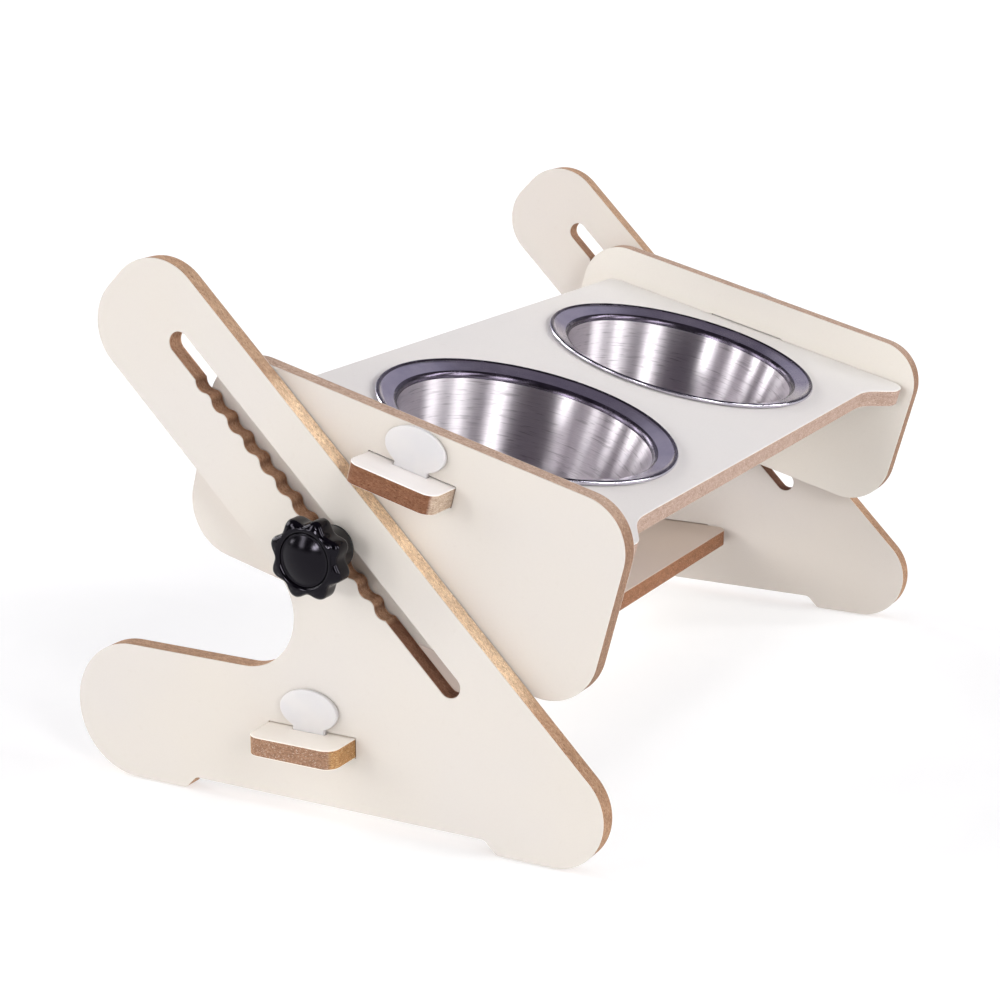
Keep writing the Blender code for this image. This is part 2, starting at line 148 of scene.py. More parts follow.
def tidy(loop, clockwise=False):
    """Drops doubled points and sets the direction of travel."""
    kept = []
    for p in loop:
        if not kept or math.dist(p, kept[-1]) > 0.01:
            kept.append(p)
    if math.dist(kept[0], kept[-1]) < 0.01:
        kept.pop()
    if (signed_area(kept) < 0) != clockwise:
        kept.reverse()
    return kept


def inset(loop, distance):
    """Moves each point to the left of travel, mitred at the corners."""
    moved = []
    for i, p in enumerate(loop):
        a, b = Vector(loop[i - 1]), Vector(loop[(i + 1) % len(loop)])
        p = Vector(p)
        d1, d2 = (p - a).normalized(), (b - p).normalized()
        n1, n2 = Vector((-d1.y, d1.x)), Vector((-d2.y, d2.x))
        n = (n1 + n2).normalized()
        n /= max(0.35, n.dot(n1))
        moved.append(tuple(p + n * distance))
    return moved


SIDE = Matrix(((0, 0, 1, 0), (1, 0, 0, 0), (0, 1, 0, 0), (0, 0, 0, 1)))
home = Matrix.Translation((0.0, -FOOTPRINT_MID * MM, 0.0))
tray_axes = home @ Matrix.Rotation(TILT, 4, "X")


# ------------------------------------------------------------------ materials
def srgb(r, g, b):
    def one(v):
        v /= 255.0
        return v / 12.92 if v <= 0.04045 else ((v + 0.055) / 1.055) ** 2.4
    return (one(r), one(g), one(b), 1.0)


class Nodes:
    """Short hand for a material's node tree."""

    def __init__(self, name):
        self.mat = bpy.data.materials.new(name)
        self.mat.use_nodes = True
        self.tree = self.mat.node_tree
        self.bsdf = self.tree.nodes["Principled BSDF"]

    def add(self, kind, **values):
        node = self.tree.nodes.new(kind)
        for key, value in values.items():
            if hasattr(node, key):
                setattr(node, key, value)
            else:
                node.inputs[key.replace("_", " ")].default_value = value
        return node

    def link(self, out, into):
        self.tree.links.new(out, into)

    def coords(self):
        return self.add("ShaderNodeTexCoord").outputs["Object"]

    def scaled(self, vector, scale, offset=(0, 0, 0)):
        node = self.add("ShaderNodeMapping")
        node.inputs["Scale"].default_value = scale
        node.inputs["Location"].default_value = offset
        self.link(vector, node.inputs["Vector"])
        return node.outputs["Vector"]

    def noise(self, vector, scale, detail=2.0, roughness=0.5, distortion=0.0):
        node = self.add("ShaderNodeTexNoise")
        node.inputs["Scale"].default_value = scale
        node.inputs["Detail"].default_value = detail
        node.inputs["Roughness"].default_value = roughness
        node.inputs["Distortion"].default_value = distortion
        self.link(vector, node.inputs["Vector"])
        return node.outputs["Fac"]

    def ramp(self, value, stops, interpolation="LINEAR"):
        node = self.add("ShaderNodeValToRGB")
        node.color_ramp.interpolation = interpolation
        elements = node.color_ramp.elements
        while len(elements) < len(stops):
            elements.new(0.5)
        for element, (place, colour) in zip(elements, stops):
            element.position = place
            element.color = colour if len(colour) == 4 else (*colour, 1.0)
        self.link(value, node.inputs["Fac"])
        return node.outputs["Color"]

    def range(self, value, low, high, to_low, to_high, clamp=True):
        node = self.add("ShaderNodeMapRange")
        node.clamp = clamp
        for key, v in (("From Min", low), ("From Max", high), ("To Min", to_low), ("To Max", to_high)):
            node.inputs[key].default_value = v
        self.link(value, node.inputs["Value"])
        return node.outputs["Result"]

    def math(self, operation, a, b=None):
        node = self.add("ShaderNodeMath")
        node.operation = operation
        for i, v in enumerate((a, b)):
            if v is None:
                continue
            if isinstance(v, (int, float)):
                node.inputs[i].default_value = v
            else:
                self.link(v, node.inputs[i])
        return node.outputs[0]

    def mix(self, factor, a, b, blend="MIX"):
        node = self.add("ShaderNodeMix")
        node.data_type = "RGBA"
        node.blend_type = blend
        for socket, v in ((node.inputs[0], factor), (node.inputs[6], a), (node.inputs[7], b)):
            if isinstance(v, (int, float)):
                socket.default_value = v
            elif isinstance(v, tuple):
                socket.default_value = v
            else:
                self.link(v, socket)
        return node.outputs[2]

    def bump(self, height, strength, distance):
        node = self.add("ShaderNodeBump")
        node.inputs["Strength"].default_value = strength
        node.inputs["Distance"].default_value = distance
        self.link(height, node.inputs["Height"])
        self.link(node.outputs["Normal"], self.bsdf.inputs["Normal"])

    def set(self, **values):
        for key, value in values.items():
            socket = self.bsdf.inputs[key.replace("_", " ")]
            if hasattr(value, "is_linked") or isinstance(value, bpy.types.NodeSocket):
                self.link(value, socket)
            else:
                socket.default_value = value
        return self


def laminate(name, seed, tint=srgb(211, 204, 195), cool=srgb(209, 203, 197), zones=None):
    """Melamine face: warm off-white, satin, with a very fine grain."""
    n = Nodes(name)
    xyz = n.coords()
    broad = n.noise(n.scaled(xyz, (1, 1, 1), (seed, 0.3 * seed, 0)), 9.0, 3.0, 0.55)
    fine = n.noise(xyz, 900.0, 2.0, 0.6)
    flecks = n.noise(n.scaled(xyz, (1.0, 1.0, 1.0), (0, seed, 0)), 260.0, 3.0, 0.6)
    colour = n.mix(n.range(broad, 0.35, 0.65, 0.0, 1.0), tint, cool)
    colour = n.mix(n.range(flecks, 0.62, 0.80, 0.0, 0.10), colour, srgb(186, 174, 160))
    colour = n.mix(n.range(fine, 0.3, 0.7, 0.0, 0.045), colour, srgb(184, 176, 166))
    # zone tints painted over parts of a face: painted light on the tenon tops
    for factor, shade in (zones(n, xyz) if zones else ()):
        colour = n.mix(factor, colour, shade)
    n.set(Base_Color=colour, Roughness=n.range(broad, 0.3, 0.7, 0.40, 0.47))
    n.bsdf.inputs["Specular IOR Level"].default_value = 0.42
    n.bump(fine, 0.10, 0.00004)
    return n.mat


def fibreboard(name, seed, pale, mid, dark, speck=0.5, zones=None):
    """Cut edge of fibreboard: fine fibres pressed flat, dark chips here and there."""
    n = Nodes(name)
    xyz = n.scaled(n.coords(), (1, 1, 1), (seed, seed * 0.7, seed * 0.4))
    flat = n.scaled(xyz, (1.0, 1.0, 2.6))
    fibre = n.noise(flat, 700.0, 4.0, 0.65, 0.6)
    clumps = n.noise(flat, 190.0, 3.0, 0.6)
    chips = n.noise(flat, 1150.0, 2.0, 0.5)
    colour = n.ramp(fibre, [(0.34, dark), (0.47, mid), (0.56, mid), (0.68, pale)])
    colour = n.mix(n.range(clumps, 0.42, 0.64, 0.0, 0.40), colour, dark)
    colour = n.mix(n.range(chips, 0.60, 0.68, 0.0, speck), colour, srgb(82, 54, 38))
    colour = n.mix(n.range(chips, 0.38, 0.30, 0.0, speck * 0.8), colour, srgb(232, 206, 178))
    # zone tints multiplied in over parts of an edge: the scorched slot walls, the darker tray tenon ends, and painted
    # light and painted shade
    for factor, tint in (zones(n, n.coords()) if zones else ()):
        colour = n.mix(factor, colour, n.mix(1.0, colour, tint, "MULTIPLY"))
    n.set(Base_Color=colour, Roughness=n.range(fibre, 0.3, 0.7, 0.92, 0.74))
    n.bsdf.inputs["Specular IOR Level"].default_value = 0.25
    n.bump(fibre, 0.55, 0.00018)
    return n.mat


def polar(n, xyz):
    """Radius, height and unit direction about the local Z axis, in metres."""
    split = n.add("ShaderNodeSeparateXYZ")
    n.link(xyz, split.inputs[0])
    x, y, z = split.outputs
    radius = n.math("SQRT", n.math("ADD", n.math("MULTIPLY", x, x), n.math("MULTIPLY", y, y)))
    safe = n.math("MAXIMUM", radius, 0.0005)
    return radius, z, n.math("DIVIDE", x, safe), n.math("DIVIDE", y, safe)


def turned_lines(n, xyz, per_metre, around, seed=0.0):
    """Noise drawn out into lines that run round the axis."""
    radius, z, cx, cy = polar(n, xyz)
    along = n.math("ADD", n.math("MULTIPLY", radius, 1.0), n.math("MULTIPLY", z, -1.0))
    join = n.add("ShaderNodeCombineXYZ")
    n.link(n.math("MULTIPLY", cx, around), join.inputs[0])
    n.link(n.math("MULTIPLY", cy, around), join.inputs[1])
    n.link(n.math("ADD", n.math("MULTIPLY", along, per_metre), seed), join.inputs[2])
    return join.outputs[0]


def brushed_steel(name, seed):
    """Turned and brushed inside of a bowl: lines round the wall, light drawn out across them."""
    n = Nodes(name)
    xyz = n.coords()
    fine = n.noise(turned_lines(n, xyz, 2600.0, 3.0, seed), 1.0, 3.0, 0.7)
    hair = n.noise(turned_lines(n, xyz, 1250.0, 4.5, seed + 9.0), 1.0, 2.0, 0.65)
    coarse = n.noise(turned_lines(n, xyz, 480.0, 2.2, seed + 3.0), 1.0, 2.0, 0.6)
    smudge = n.noise(n.scaled(xyz, (1, 1, 1), (seed, 0, 0)), 38.0, 3.0, 0.6)
    colour = n.mix(n.range(fine, 0.25, 0.75, 0.0, 1.0), srgb(202, 196, 201), srgb(226, 221, 225))
    colour = n.mix(n.range(hair, 0.56, 0.70, 0.0, 0.45), colour, srgb(112, 104, 110))
    colour = n.mix(n.range(coarse, 0.60, 0.72, 0.0, 0.25), colour, srgb(128, 121, 126))
    rough = n.math("ADD", n.range(fine, 0.2, 0.8, 0.31, 0.38), n.range(smudge, 0.4, 0.7, 0.0, 0.04))
    rough = n.math("ADD", rough, n.range(hair, 0.42, 0.30, 0.0, 0.08))
    n.set(Base_Color=colour, Metallic=1.0, Roughness=rough)
    n.bsdf.inputs["Anisotropic"].default_value = 1.0
    n.bsdf.inputs["Anisotropic Rotation"].default_value = 0.25
    tangent = n.add("ShaderNodeTangent")
    tangent.direction_type = "RADIAL"
    tangent.axis = "Z"
    n.link(tangent.outputs[0], n.bsdf.inputs["Tangent"])
    height = n.math("ADD", n.math("MULTIPLY", fine, 0.3), n.math("MULTIPLY", hair, 0.7))
    n.bump(height, 0.35, 0.00008)
    return n.mat


def rim_steel(name, seed):
    """Polished, slightly bluish rim with a few hairline marks round it."""
    n = Nodes(name)
    xyz = n.coords()
    hair = n.noise(turned_lines(n, xyz, 1800.0, 5.0, seed), 1.0, 3.0, 0.65)
    cloud = n.noise(n.scaled(xyz, (1, 1, 1), (seed, 0, 0)), 55.0, 3.0, 0.6)
    colour = n.mix(n.range(cloud, 0.35, 0.65, 0.0, 1.0), srgb(184, 180, 194), srgb(200, 196, 206))
    n.set(Base_Color=colour, Metallic=1.0,
          Roughness=n.math("ADD", n.range(hair, 0.3, 0.7, 0.15, 0.23), n.range(cloud, 0.3, 0.7, 0.0, 0.05)))
    n.bump(hair, 0.10, 0.00004)
    return n.mat


def painted_reflection_steel(name, seed):
    """Darker band where the sheet is bent, the turn of the mouth and the bead: a painted dark reflection."""
    n = Nodes(name)
    xyz = n.coords()
    hair = n.noise(turned_lines(n, xyz, 1500.0, 6.0, seed), 1.0, 3.0, 0.65)
    colour = n.mix(n.range(hair, 0.35, 0.65, 0.0, 1.0), srgb(66, 60, 72), srgb(98, 91, 104))
    n.set(Base_Color=colour, Metallic=1.0, Roughness=n.range(hair, 0.3, 0.7, 0.20, 0.30))
    n.bump(hair, 0.08, 0.00004)
    return n.mat


def black_plastic(name, seed, rough=0.08):
    """Moulded black plastic, glossy, with a faint orange peel and dust."""
    n = Nodes(name)
    xyz = n.scaled(n.coords(), (1, 1, 1), (seed, 0, 0))
    peel = n.noise(xyz, 420.0, 2.0, 0.5)
    dust = n.noise(xyz, 1500.0, 3.0, 0.7)
    colour = n.mix(n.range(dust, 0.66, 0.80, 0.0, 0.35), srgb(4, 3, 6), srgb(34, 30, 36))
    n.set(Base_Color=colour,
          Roughness=n.math("ADD", n.range(peel, 0.3, 0.7, rough, rough + 0.05),
                           n.range(dust, 0.6, 0.8, 0.0, 0.15)))
    n.bsdf.inputs["Specular IOR Level"].default_value = 0.19
    n.bsdf.inputs["Specular Tint"].default_value = (0.90, 0.84, 1.0, 1.0)
    n.bump(peel, 0.10, 0.00004)
    return n.mat


def milky_plastic(name, seed):
    """Translucent milky plastic of the keys."""
    n = Nodes(name)
    xyz = n.scaled(n.coords(), (1, 1, 1), (seed, 0, 0))
    cloud = n.noise(xyz, 70.0, 2.0, 0.5)
    scuff = n.noise(n.scaled(xyz, (1, 4, 1)), 320.0, 2.0, 0.5)
    colour = n.mix(n.range(cloud, 0.35, 0.65, 0.0, 1.0), srgb(213, 210, 209), srgb(208, 206, 207))
    n.set(Base_Color=colour, Roughness=n.range(scuff, 0.3, 0.7, 0.30, 0.38),
          Subsurface_Weight=0.5, Subsurface_Scale=0.0015, IOR=1.46)
    n.bsdf.inputs["Subsurface Radius"].default_value = (1.0, 0.95, 1.0)
    n.bump(scuff, 0.05, 0.00002)
    return n.mat


def zinc(name, seed):
    n = Nodes(name)
    xyz = n.scaled(n.coords(), (1, 1, 1), (seed, 0, 0))
    spangle = n.noise(xyz, 320.0, 3.0, 0.6)
    colour = n.mix(n.range(spangle, 0.35, 0.65, 0.0, 1.0), srgb(176, 178, 182), srgb(208, 208, 206))
    n.set(Base_Color=colour, Metallic=1.0, Roughness=n.range(spangle, 0.3, 0.7, 0.26, 0.42))
    n.bump(spangle, 0.10, 0.00004)
    return n.mat


def nylon(name, seed):
    n = Nodes(name)
    xyz = n.scaled(n.coords(), (1, 1, 1), (seed, 0, 0))
    grain = n.noise(xyz, 900.0, 2.0, 0.6)
    colour = n.mix(n.range(grain, 0.3, 0.7, 0.0, 1.0), srgb(24, 24, 26), srgb(38, 37, 38))
    n.set(Base_Color=colour, Roughness=n.range(grain, 0.3, 0.7, 0.50, 0.66))
    n.bump(grain, 0.2, 0.00005)
    return n.mat


# -------------------------------------------------------------- mesh helpers
def to_object(name, solid, matrix, materials, body, nodes, smooth=32.0):
    mesh = bpy.data.meshes.new(name)
    bmesh.ops.recalc_face_normals(solid, faces=solid.faces)
    solid.to_mesh(mesh)
    solid.free()
    mesh.shade_smooth()
    mesh.set_sharp_from_angle(angle=math.radians(smooth))
    for mat in materials:
        mesh.materials.append(mat)
    obj = bpy.data.objects.new(name, mesh)
    scene.collection.objects.link(obj)
    obj.matrix_world = matrix
    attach(obj, body)
    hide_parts(*([nodes] if isinstance(nodes, str) else nodes))
    return obj


def board(name, outer, holes, matrix, face, edge, body, node,
          chamfer=0.16, skin=0.38, skin_low=0.38):
    """Laminated board: two thin skins with softened arrises on a fibreboard core."""
    loops = [tidy(outer)] + [tidy(hole, clockwise=True) for hole in holes]
    half = BOARD / 2
    levels = [(chamfer, half), (0.0, half - chamfer), (0.0, half - skin),
              (0.0, skin_low - half), (0.0, chamfer - half), (chamfer, -half)]
    strips = [0, 0, 1, 0, 0]            # 0 laminate, 1 core
    solid = bmesh.new()
    rings = []
    for loop in loops:
        rings.append([])
        for distance, z in levels:
            points = inset(loop, distance) if distance else loop
            rings[-1].append([solid.verts.new((x * MM, y * MM, z * MM)) for x, y in points])
    for levels_of in rings:
        for k, index in enumerate(strips):
            upper, lower = levels_of[k], levels_of[k + 1]
            count = len(upper)
            for i in range(count):
                j = (i + 1) % count
                f = solid.faces.new((lower[i], lower[j], upper[j], upper[i]))
                f.material_index = index
    flat = [v for levels_of in rings for v in levels_of[0]]
    flat_low = [v for levels_of in rings for v in levels_of[-1]]
    polygons = [[Vector((v.co.x, v.co.y, 0.0)) for v in levels_of[0]] for levels_of in rings]
    for a, b, c in tessellate_polygon(polygons):
        va, vb, vc = flat[a], flat[b], flat[c]
        area = (vb.co.x - va.co.x) * (vc.co.y - va.co.y) - (vc.co.x - va.co.x) * (vb.co.y - va.co.y)
        if abs(area) < 1e-14:
            continue
        for verts in ((va, vb, vc), (flat_low[a], flat_low[b], flat_low[c])):
            try:
                solid.faces.new(verts)
            except ValueError:
                pass
    return to_object(name, solid, matrix, [face, edge], body, node, 30.0)


def revolve(name, profile, steps, matrix, materials, body, nodes, zones=None, closed=False,
            smooth=38.0):
    """Solid of revolution about local Z from (radius, z) points in mm.

    zones gives the material index of each stretch of the profile.
    """
    solid = bmesh.new()
    rings = []
    for r, z in profile:
        if r < 1e-6:
            rings.append([solid.verts.new((0.0, 0.0, z * MM))])
        else:
            rings.append([solid.verts.new((r * MM * math.cos(2 * math.pi * k / steps),
                                           r * MM * math.sin(2 * math.pi * k / steps), z * MM))
                          for k in range(steps)])
    pairs = list(zip(rings, rings[1:]))
    if closed:
        pairs.append((rings[-1], rings[0]))
    for index, (a, b) in enumerate(pairs):
        for k in range(steps):
            j = (k + 1) % steps
            if len(a) == 1 and len(b) == 1:
                continue
            if len(a) == 1:
                f = solid.faces.new((a[0], b[k], b[j]))
            elif len(b) == 1:
                f = solid.faces.new((a[j], a[k], b[0]))
            else:
                f = solid.faces.new((a[j], a[k], b[k], b[j]))
            f.material_index = zones[index] if zones else 0
    return to_object(name, solid, matrix, materials, body, nodes, smooth)


def loft(name, sections, matrix, materials, body, nodes, zones=None, smooth=40.0):
    """Skin over closed sections of equal count, given as lists of (x, y, z) in mm.

    The first and last sections may be one point each.
    """
    solid = bmesh.new()
    rings = [[solid.verts.new((x * MM, y * MM, z * MM)) for x, y, z in section] for section in sections]
    for index, (a, b) in enumerate(zip(rings, rings[1:])):
        count = max(len(a), len(b))
        for k in range(count):
            j = (k + 1) % count
            if len(a) == 1:
                f = solid.faces.new((a[0], b[k], b[j]))
            elif len(b) == 1:
                f = solid.faces.new((a[j], a[k], b[0]))
            else:
                f = solid.faces.new((a[j], a[k], b[k], b[j]))
            f.material_index = zones[index] if zones else 0
    return to_object(name, solid, matrix, materials, body, nodes, smooth)


# -------------------------------------------------------------- side frames
def slot_outline():
    rear = SLOT_CENTRE - SLOT_R
    points = arc(SLOT_CENTRE, SLOT_TOP, SLOT_R, 0.0, math.pi, 24)
    rise = NOTCH_CENTRE - TOOTH_TIP
    half = NOTCH_PITCH / 2
    nose = (SLOT_R ** 2 - half ** 2 - rise ** 2) / (2 * (rise - SLOT_R))
    nose_q = TOOTH_TIP - nose
    lean = math.asin(half / (SLOT_R + nose))
    edge = math.asin(math.sqrt(SLOT_R ** 2 - (NOTCH_CENTRE - rear) ** 2) / SLOT_R)
    for k in range(NOTCH_COUNT):
        s = NOTCH_FIRST - k * NOTCH_PITCH
        start = math.pi - (edge if k == 0 else lean)
        end = math.pi + (edge if k == NOTCH_COUNT - 1 else lean)
        points += arc(NOTCH_CENTRE, s, SLOT_R, start, end, 14)
        if k < NOTCH_COUNT - 1:
            points += arc(nose_q, s - half, nose, lean, -lean, 8)[1:-1]
    points += arc(SLOT_CENTRE, SLOT_BOTTOM, SLOT_R, math.pi, 2 * math.pi, 24)
    return [from_arm(q, s) for q, s in points]


def arm_at_height(q, z):
    return (z * math.cos(ARM_ANGLE) - q) / math.sin(ARM_ANGLE)


frame_outline = fillet([
    (FOOT_FRONT, 0.0, 24.0), (-22.5, 0.0, 3.0), (-16.5, RELIEF, 4.0),
    (133.5, RELIEF, 3.0), (139.3, 0.0, 3.0), (FOOT_BACK, 0.0, 32.2),
    (FOOT_BACK, FOOT_TOP, 32.2), (arm_at_height(ARM_REAR, FOOT_TOP), FOOT_TOP, 26.8),
    (*from_arm(ARM_REAR, ARM_END), 24.0), (*from_arm(ARM_FRONT, ARM_END), 26.0),
], math.radians(4))
mortise = rectangle(CROSS_TENON_Y[0] - GAP, CROSS_TENON_Y[1] + GAP,
                    CROSS_Z[0] - GAP, CROSS_Z[1] + 0.45)

# One fibreboard core in four shades set per board: the differences are painted light and shade, the darkest palette
# being painted shade on the cross board beneath the tray.
TAN = dict(pale=srgb(216, 184, 154), mid=srgb(188, 152, 122), dark=srgb(142, 108, 84))
FAWN = dict(pale=srgb(206, 178, 154), mid=srgb(180, 148, 124), dark=srgb(140, 108, 88))
ROSE = dict(pale=srgb(198, 177, 163), mid=srgb(173, 149, 135), dark=srgb(136, 108, 93))
CORE_PAINTED_SHADE = dict(pale=srgb(162, 118, 90), mid=srgb(139, 95, 68), dark=srgb(102, 66, 44))


def split_xyz(n, xyz):
    node = n.add("ShaderNodeSeparateXYZ")
    n.link(xyz, node.inputs[0])
    return node.outputs


def frame_zones(n, xyz):
    """Scorched walls of the slot, darker on the straight stretch below the teeth, with painted shade in the notch
    pockets and painted light next to the board's faces; painted shade on the edges near the foot, and on the front edge
    painted light in the middle of the arm and painted shade towards the arm's end.
    """
    x, y, z = split_xyz(n, xyz)
    c, w = math.cos(ARM_ANGLE), math.sin(ARM_ANGLE)
    across = n.math("SUBTRACT", n.math("MULTIPLY", y, c), n.math("MULTIPLY", x, w))
    along = n.math("ADD", n.math("MULTIPLY", x, c), n.math("MULTIPLY", y, w))
    near = n.range(n.math("ABSOLUTE", n.math("SUBTRACT", across, 0.05015)), 0.0064, 0.0070, 1.0, 0.0)
    inside = n.math("MULTIPLY", near, n.math("MULTIPLY", n.range(along, 0.0440, 0.0445, 0.0, 1.0),
                                            n.range(along, 0.2480, 0.2485, 1.0, 0.0)))
    step = n.math("FRACT", n.math("DIVIDE", n.math("ADD", along, 10 * NOTCH_PITCH * MM - NOTCH_FIRST * MM),
                                  NOTCH_PITCH * MM))
    # painted shade: a dark patch in each notch pocket, applied through deep below
    shade = n.math("MULTIPLY", n.range(step, 0.02, 0.30, 0.0, 1.0), n.range(step, 0.34, 0.56, 1.0, 0.0))
    toothed = n.math("MULTIPLY", n.range(across, 0.0466, 0.0450, 0.0, 1.0),
                     n.math("MULTIPLY", n.range(along, 0.090, 0.0901, 0.0, 1.0), n.range(along, 0.227, 0.2271, 1.0, 0.0)))
    deep = n.math("MULTIPLY", inside, n.math("MULTIPLY", shade, toothed))
    straight = n.math("MULTIPLY", inside, n.range(along, 0.088, 0.090, 1.0, 0.0))
    # painted light: the slot walls paler next to the board's faces
    rims_painted_light = n.math("MULTIPLY", inside, n.range(n.math("ABSOLUTE", z), 0.0032, 0.0041, 0.0, 0.8))
    # painted shade on the edges near the foot; on the front edge painted light in the middle of the arm and painted
    # shade towards its end
    low = n.range(along, 0.03, 0.0, 0.0, 1.0)
    front = n.range(across, 0.0740, 0.0746, 0.0, 1.0)
    upper = n.math("MULTIPLY", front, n.range(along, 0.19, 0.21, 0.0, 1.0))
    middle = n.math("MULTIPLY", front, n.math("MULTIPLY", n.range(along, 0.018, 0.040, 0.0, 1.0),
                                              n.range(along, 0.185, 0.205, 1.0, 0.0)))
    return [(low, (0.74, 0.70, 0.67, 1.0)), (middle, (1.82, 2.15, 2.30, 1.0)), (upper, (0.88, 0.90, 0.91, 1.0)),
            (inside, (0.83, 0.78, 0.77, 1.0)), (straight, (0.58, 0.48, 0.46, 1.0)),
            (deep, (0.46, 0.42, 0.42, 1.0)), (rims_painted_light, (1.6, 1.66, 1.72, 1.0))]


def panel_zones(n, xyz):
    """Painted light on the top edge, which is paler than the others, and painted shade on the other edges."""
    x, y, _ = split_xyz(n, xyz)
    across = n.math("SUBTRACT", n.math("MULTIPLY", y, math.cos(TILT)), n.math("MULTIPLY", x, math.sin(TILT)))
    top = n.range(across, 0.160, 0.1695, 0.0, 1.0)
    other_edges_painted_shade = n.math("SUBTRACT", 1.0, top)
    return [(top, (1.12, 1.22, 1.34, 1.0)), (other_edges_painted_shade, (0.62, 0.57, 0.54, 1.0))]


def end_zones(*bands):
    """Tenon ends: (from, full, back from, back to, tint) in mm from the middle of the board."""
    def zones(n, xyz):
        reach = n.math("ABSOLUTE", split_xyz(n, xyz)[0])
        made = []
        for start, full, fade, gone, tint in bands:
            rise = n.range(reach, start * MM, full * MM, 0.0, 1.0)
            made.append((n.math("MULTIPLY", rise, n.range(reach, fade * MM, gone * MM, 1.0, 0.0)), tint))
        return made
    return zones


frame_edge = fibreboard("core_frame", 1.3, **TAN, zones=frame_zones)
panel_edge = fibreboard("core_panel", 2.9, **FAWN, zones=panel_zones)
# tray core: much darker on the tenon's end; painted light on the tenon's stretch past the panel
tray_edge = fibreboard("core_tray", 4.1, **ROSE, zones=end_zones(
    (206.8, 207.8, 300, 301, (0.52, 0.32, 0.21, 1.0)), (190.0, 191.0, 206.8, 207.8, (1.23, 1.32, 1.25, 1.0))))
# cross board core in painted shade, painted lighter on the tenons beyond the frame: painted light
cross_edge = fibreboard("core_cross_painted_shade", 6.7, **CORE_PAINTED_SHADE, zones=end_zones(
    (216.8, 217.8, 300, 301, (1.30, 1.64, 2.00, 1.0)), (199.0, 200.0, 216.8, 217.8, (1.72, 2.06, 1.68, 1.0))))
# One laminate on every board; the shades set per board below are painted light and painted shade.
frame_face = {"left": laminate("face_frame_left", 0.4),
              "right": laminate("face_frame_right", 0.9, srgb(212, 204, 195), srgb(210, 203, 197))}
# the right panel's lighter shade of the laminate is painted light
panel_face = {"left": laminate("face_panel_left", 1.7),
              "right": laminate("face_panel_right", 2.1, srgb(222, 215, 205), srgb(220, 215, 207))}
# the tray's lighter shade of the laminate is painted light, and its tenon tops are painted paler still: painted light
tray_face = laminate("face_tray", 3.2, srgb(230, 226, 221), srgb(227, 224, 220),
                     end_zones((190.0, 191.0, 300, 301, srgb(248, 243, 239))))
# the cross board's darker, browner shade of the laminate is painted shade beneath the tray; its tenon tops are painted
# paler: painted light
cross_face = laminate("face_cross_painted_shade", 5.1, srgb(178, 161, 147), srgb(175, 160, 149),
                      end_zones((198.0, 199.0, 300, 301, srgb(240, 233, 223))))

for side, tag in ((-1, "left"), (1, "right")):
    board("frame_board_" + tag, inset(tidy(frame_outline), 0.05), [slot_outline(), mortise],
          home @ Matrix.Translation((side * (HALF - BOARD / 2) * MM, 0, 0)) @ SIDE,
          frame_face[tag], frame_edge, "stand", tag + "_side_frame")


# --------------------------------------------------- tenoned boards and panels
def tenoned_board(shoulder, end, edge, tenon, front_ears=None):
    right = [(shoulder, tenon[0], 0.0), (end, tenon[0], TENON_R),
             (end, tenon[1], TENON_R), (shoulder, tenon[1], 0.0)]
    left = [(-x, y, r) for x, y, r in reversed(right)]
    back = [(shoulder, edge[1], BOARD_CORNER_R), (-shoulder, edge[1], BOARD_CORNER_R)]
    if front_ears is None:
        front_left = [(-shoulder, edge[0], BOARD_CORNER_R)]
        front_right = [(shoulder, edge[0], BOARD_CORNER_R)]
    else:
        front_right = front_ears
        front_left = [(-x, y, r) for x, y, r in reversed(front_right)]
    return fillet(front_left + front_right + right + back + left)


cross_key_mid = sum(CROSS_TENON_Y) / 2
cross_slots = [rectangle(*sorted((side * (HALF - GAP), side * (HALF + KEY_THICK + 2 * GAP))),
                         cross_key_mid - KEY_NECK / 2 - GAP, cross_key_mid + KEY_NECK / 2 + GAP)
               for side in (-1, 1)]
board("cross_board_fine",
      tenoned_board(HALF - BOARD - GAP, HALF + CROSS_TENON_OUT, CROSS_Y, CROSS_TENON_Y), cross_slots,
      home @ Matrix.Translation((0, 0, sum(CROSS_Z) / 2 * MM)),
      cross_face, cross_edge, "stand", "lower_cross_board")

stud_y, stud_z = from_arm(STUD_Q, STUD_S)
stud_u, stud_w = to_tray(stud_y, stud_z)
tray_key_mid = sum(TENON_U) / 2 - 0.5
panel_outline = fillet([(PANEL_U[0], PANEL_W[0], PANEL_R_BOTTOM), (PANEL_U[1], PANEL_W[0], PANEL_R_BOTTOM),
                        (PANEL_U[1], PANEL_W[1], PANEL_R_TOP), (PANEL_U[0], PANEL_W[1], PANEL_R_TOP)],
                       math.radians(4))
panel_mortise = rectangle(TENON_U[0] - GAP, TENON_U[1] + GAP, TRAY_TOP - BOARD - GAP, TRAY_TOP + 0.45)
insert_hole = circle(stud_u, stud_w, STUD_R + GAP + 0.8 + GAP, 48)
for side, tag in ((-1, "left"), (1, "right")):
    board("panel_board_" + tag, inset(tidy(from_tray(panel_outline)), 0.05), [from_tray(panel_mortise), from_tray(insert_hole)],
          home @ Matrix.Translation((side * (PANEL_OUT - BOARD / 2) * MM, 0, 0)) @ SIDE,
          panel_face[tag], panel_edge, "tray_assembly", tag + "_side_panel")

